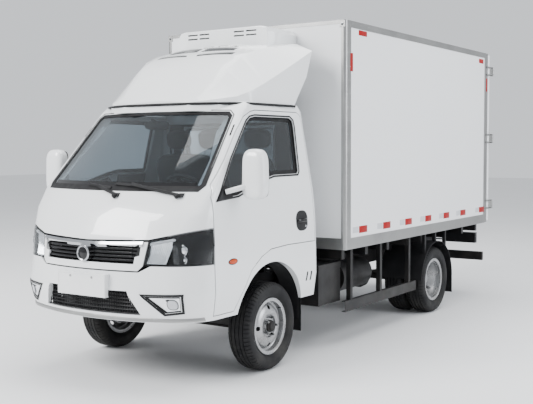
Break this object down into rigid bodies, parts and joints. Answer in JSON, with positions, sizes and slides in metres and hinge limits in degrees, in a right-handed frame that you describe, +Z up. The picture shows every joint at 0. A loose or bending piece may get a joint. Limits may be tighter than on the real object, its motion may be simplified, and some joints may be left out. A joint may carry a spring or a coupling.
{
  "type": "refrigerated light truck",
  "caption": "Light cab-forward truck with an insulated refrigerated box, rear leaves, roof fairing and cooling unit; it rolls, steers and its doors open.",
  "frame": {"origin": "on the ground, below the middle of the whole truck", "axes": "+Z up, the front faces -Y, +X towards the driver's side"},
  "size_m": [2.095, 5.436, 2.66],
  "materials": {
    "cab_paint": "gloss white paint",
    "box_panel": "white gel coat panels",
    "floor_deck": "grey anti-slip floor",
    "bare_aluminium": "satin profiles",
    "stainless": "satin",
    "glazing": "clear, slightly grey",
    "clear_lens": "clear",
    "dark_plastic": "grained black",
    "lamp_shell": "bright reflector",
    "tail_red": "red lens",
    "unit_white": "off-white housing",
    "plate_blank": "blank plate",
    "rubber_tread": "black rubber",
    "rim_silver": "silver paint",
    "frame_black": "black chassis paint",
    "cast_metal": "rough",
    "exhaust_steel": "dull",
    "seat_cloth": "dark grey weave"
  },
  "bodies": {
    "root": {"battery_box": "frame_black", "box_edge_trim": "bare_aluminium", "box_floor": "floor_deck", "box_front_wall": "box_panel", "box_left_wall": "box_panel", "box_rear_frame": "bare_aluminium", "box_right_wall": "box_panel", "box_roof": "box_panel", "cab_floor": "cab_paint", "cab_glass": "glazing", "cab_seats": "seat_cloth", "cab_shell": "cab_paint", "chassis_frame": "frame_black", "condenser_unit": "unit_white", "dashboard": "dark_plastic", "drive_shaft": "frame_black", "evaporator_unit": "dark_plastic", "exhaust": "exhaust_steel", "floor_bearers": "frame_black", "floor_runners": "frame_black", "fog_lamps": "lamp_shell", "front_axle": "frame_black", "front_bumper": "cab_paint", "fuel_tank": "bare_aluminium", "grille": "dark_plastic", "headlamp_lenses": "clear_lens", "headlamps": "lamp_shell", "leaf_springs": "frame_black", "number_plate": "plate_blank", "powertrain": "cast_metal", "rear_axle": "frame_black", "rear_hinges": "stainless", "rear_mudguards": "dark_plastic", "rear_underrun": "frame_black", "roof_fairing": "cab_paint", "side_guards": "bare_aluminium", "tail_lamps": "tail_red", "tow_eye": "frame_black", "wipers": "dark_plastic"},
    "door_left": {"door_left": "cab_paint", "door_glass_left": "glazing", "mirror_left": "dark_plastic"},
    "door_right": {"door_right": "cab_paint", "door_glass_right": "glazing", "mirror_right": "dark_plastic"},
    "rear_leaf_left": {"rear_door_left": "box_panel"},
    "rear_leaf_right": {"rear_door_right": "box_panel"},
    "hand_wheel": {"steering_wheel": "dark_plastic"},
    "knuckle_left": {"knuckle_left": "frame_black"},
    "knuckle_right": {"knuckle_right": "frame_black"},
    "tie_rod": {"tie_rod": "frame_black"},
    "front_wheel_left": {"tyre_front_left": "rubber_tread", "wheel_front_left": "rim_silver"},
    "front_wheel_right": {"tyre_front_right": "rubber_tread", "wheel_front_right": "rim_silver"},
    "rear_wheels_left": {"tyres_rear_left": "rubber_tread", "wheels_rear_left": "rim_silver"},
    "rear_wheels_right": {"tyres_rear_right": "rubber_tread", "wheels_rear_right": "rim_silver"}
  },
  "joints": [
    {"name": "steer_left", "type": "hinge", "parent": "root", "child": "knuckle_left", "pos_m": [0.6, -1.596, 0.325], "axis": [0, 0, 1], "range_deg": [-35, 35]},
    {"name": "steer_right", "type": "hinge", "parent": "root", "child": "knuckle_right", "pos_m": [-0.6, -1.596, 0.325], "axis": [0, 0, 1], "range_deg": [-35, 35]},
    {"name": "tie_rod_swing", "type": "hinge", "parent": "knuckle_left", "child": "tie_rod", "pos_m": [0.6, -1.436, 0.251], "axis": [0, 0, 1], "range_deg": [-35, 35]},
    {"name": "hand_wheel_turn", "type": "hinge", "parent": "root", "child": "hand_wheel", "pos_m": [0.36, -1.966, 1.3], "axis": [0, 0.7328, 0.6804], "range_deg": [-525, 525]},
    {"name": "front_spin_left", "type": "hinge", "parent": "knuckle_left", "child": "front_wheel_left", "pos_m": [0.728, -1.596, 0.325], "axis": [1, 0, 0], "continuous": true},
    {"name": "front_spin_right", "type": "hinge", "parent": "knuckle_right", "child": "front_wheel_right", "pos_m": [-0.728, -1.596, 0.325], "axis": [1, 0, 0], "continuous": true},
    {"name": "rear_spin_left", "type": "hinge", "parent": "root", "child": "rear_wheels_left", "pos_m": [0.685, 1.254, 0.325], "axis": [1, 0, 0], "continuous": true},
    {"name": "rear_spin_right", "type": "hinge", "parent": "root", "child": "rear_wheels_right", "pos_m": [-0.685, 1.254, 0.325], "axis": [1, 0, 0], "continuous": true},
    {"name": "door_swing_left", "type": "hinge", "parent": "root", "child": "door_left", "pos_m": [0.806, -2.251, 0.855], "axis": [0, 0, -1], "range_deg": [0, 70]},
    {"name": "door_swing_right", "type": "hinge", "parent": "root", "child": "door_right", "pos_m": [-0.806, -2.251, 0.855], "axis": [0, 0, 1], "range_deg": [0, 70]},
    {"name": "leaf_swing_left", "type": "hinge", "parent": "root", "child": "rear_leaf_left", "pos_m": [0.94, 2.707, 1.73], "axis": [0, 0, -1], "range_deg": [0, 270]},
    {"name": "leaf_swing_right", "type": "hinge", "parent": "root", "child": "rear_leaf_right", "pos_m": [-0.94, 2.707, 1.73], "axis": [0, 0, 1], "range_deg": [0, 270]}
  ],
  "couplings": [
    {"joint": "steer_right", "follows": "steer_left", "ratio": 1},
    {"joint": "tie_rod_swing", "follows": "steer_left", "ratio": -1},
    {"joint": "hand_wheel_turn", "follows": "steer_left", "ratio": 15}
  ]
}
